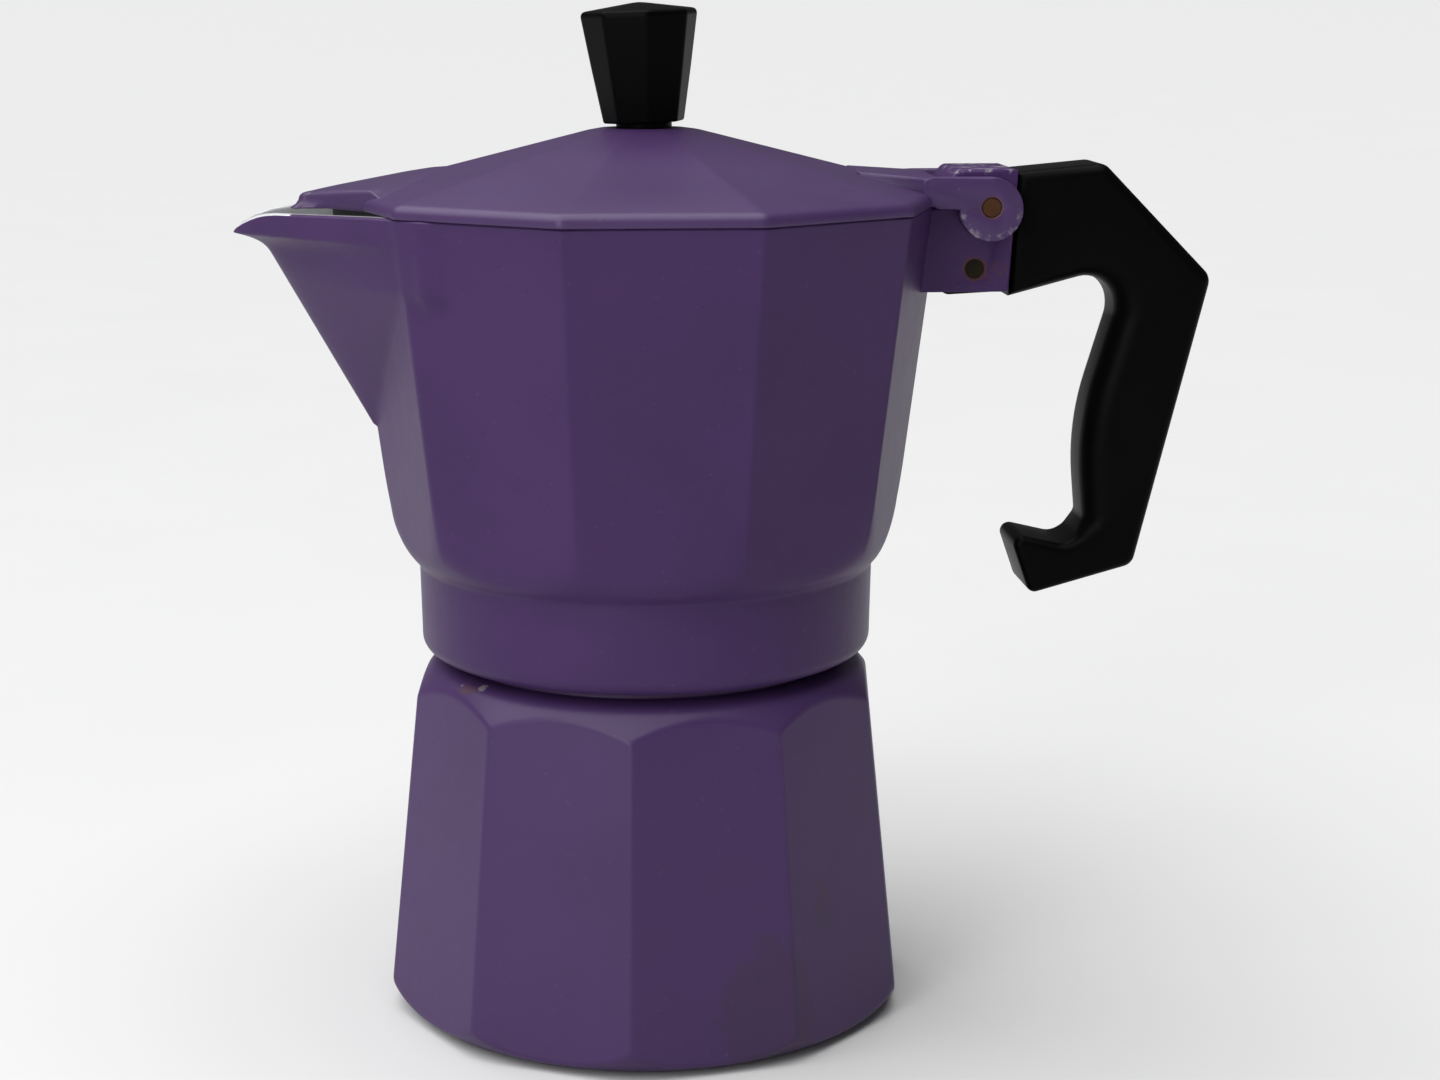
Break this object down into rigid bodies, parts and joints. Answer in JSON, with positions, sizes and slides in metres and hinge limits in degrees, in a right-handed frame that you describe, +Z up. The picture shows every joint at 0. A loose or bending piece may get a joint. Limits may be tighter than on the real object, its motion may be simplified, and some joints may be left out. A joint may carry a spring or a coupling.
{
  "type": "moka pot",
  "caption": "Stovetop moka pot with a faceted boiler screwed into a faceted jug, a hinged lid with a knob, a pouring spout, a side handle and a spring safety valve.",
  "frame": {"origin": "centre of the flat base, on the pot's upright axis", "axes": "+Z up along the pot's axis, +X toward the handle and -X toward the pouring spout, +Y to the side that carries the safety valve"},
  "size_m": [0.1555, 0.092, 0.1621],
  "materials": {
    "paint": "satin purple enamel paint on cast aluminium, worn to bare metal at the hinge",
    "black_plastic": "moulded black heat-resistant plastic with a soft sheen",
    "steel": "plain stainless sheet and turned parts",
    "aluminium": "pressed aluminium sheet, dull",
    "brass": "turned brass, lightly tarnished",
    "rusty_steel": "plain steel pin, rusted",
    "gasket_rubber": "off-white food-grade rubber",
    "valve_rubber": "red silicone",
    "fibre": "red-brown sealing fibre"
  },
  "bodies": {
    "boiler": {"boiler": "paint", "valve_body": "brass", "valve_washer": "fibre", "valve_cap": "steel", "valve_spring": "steel"},
    "valve_plunger": {"valve_plunger": "steel", "valve_seal": "valve_rubber"},
    "funnel": {"funnel": "aluminium", "funnel_strainer": "aluminium"},
    "gasket": {"gasket": "gasket_rubber"},
    "filter_plate": {"filter_plate": "aluminium"},
    "collector": {"collector": "paint", "handle": "black_plastic", "hinge_pin": "brass", "handle_pin": "rusty_steel"},
    "lid": {"lid": "paint", "knob": "black_plastic", "knob_insert": "brass", "knob_screw": "steel", "knob_washer": "steel"}
  },
  "joints": [
    {"name": "collector_turn", "type": "hinge", "parent": "filter_plate", "child": "collector", "pos_m": [0, 0, 0.066], "axis": [0, 0, 1], "range_deg": [0, 810]},
    {"name": "thread_lift", "type": "slide", "parent": "gasket", "child": "filter_plate", "axis": [0, 0, 1], "range_m": [0, 0.00721]},
    {"name": "collector_lift_off", "type": "slide", "parent": "boiler", "child": "gasket", "axis": [0, 0, 1], "range_m": [0, 0.13]},
    {"name": "funnel_lift", "type": "slide", "parent": "boiler", "child": "funnel", "axis": [0, 0, 1], "range_m": [0, 0.0651]},
    {"name": "lid_hinge", "type": "hinge", "parent": "collector", "child": "lid", "pos_m": [0.0538, 0, 0.1306], "axis": [0, 1, 0], "range_deg": [0, 110]},
    {"name": "valve_plunger_slide", "type": "slide", "parent": "boiler", "child": "valve_plunger", "axis": [-0.1925, 0.9813, 0], "range_m": [0, 0.0015], "stiffness_N_per_m": 1200, "springref_m": -0.0025, "deforming": ["valve_spring"]}
  ],
  "couplings": [
    {"joint": "thread_lift", "follows": "collector_turn", "m_per_rad": 0.0005093},
    {"joint": "funnel_lift", "follows": "collector_lift_off", "ratio": 0.5}
  ]
}
